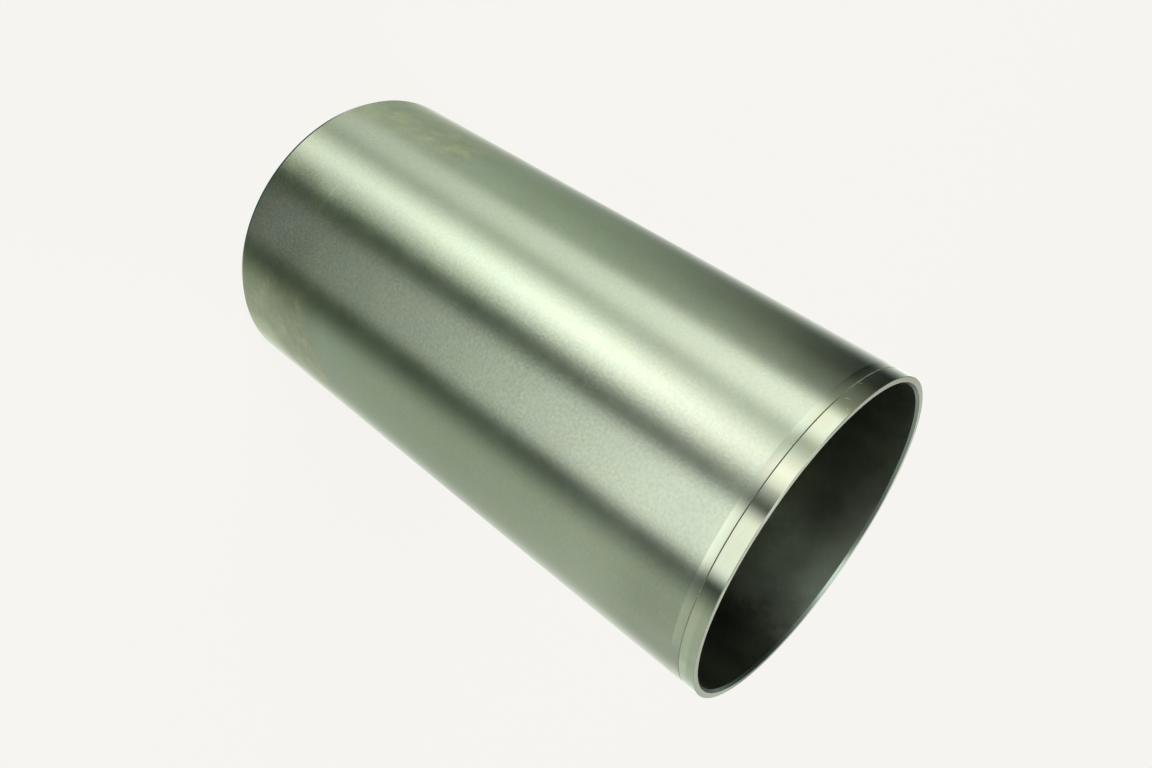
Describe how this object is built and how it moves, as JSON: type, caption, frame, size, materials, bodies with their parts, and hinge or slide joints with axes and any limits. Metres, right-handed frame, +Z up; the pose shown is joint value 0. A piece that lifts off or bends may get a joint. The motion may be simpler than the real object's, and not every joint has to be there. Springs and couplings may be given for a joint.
{
  "type": "cylinder liner",
  "caption": "Thin-walled dry cylinder liner: a turned iron tube with a smooth locating band, a fine groove and a relief strip at its chamfered mouth, and a tapered lower end.",
  "frame": {"origin": "centre of the lower end, on the bore axis", "axes": "+Z up along the bore axis, towards the mouth that carries the locating band"},
  "size_m": [0.1032, 0.1032, 0.1953],
  "materials": {
    "liner_iron": "ground outside, turned band and end faces, honed bore, faint brown storage stains at the lower end"
  },
  "bodies": {
    "root": {"cylinder_liner": "liner_iron"}
  },
  "joints": []
}
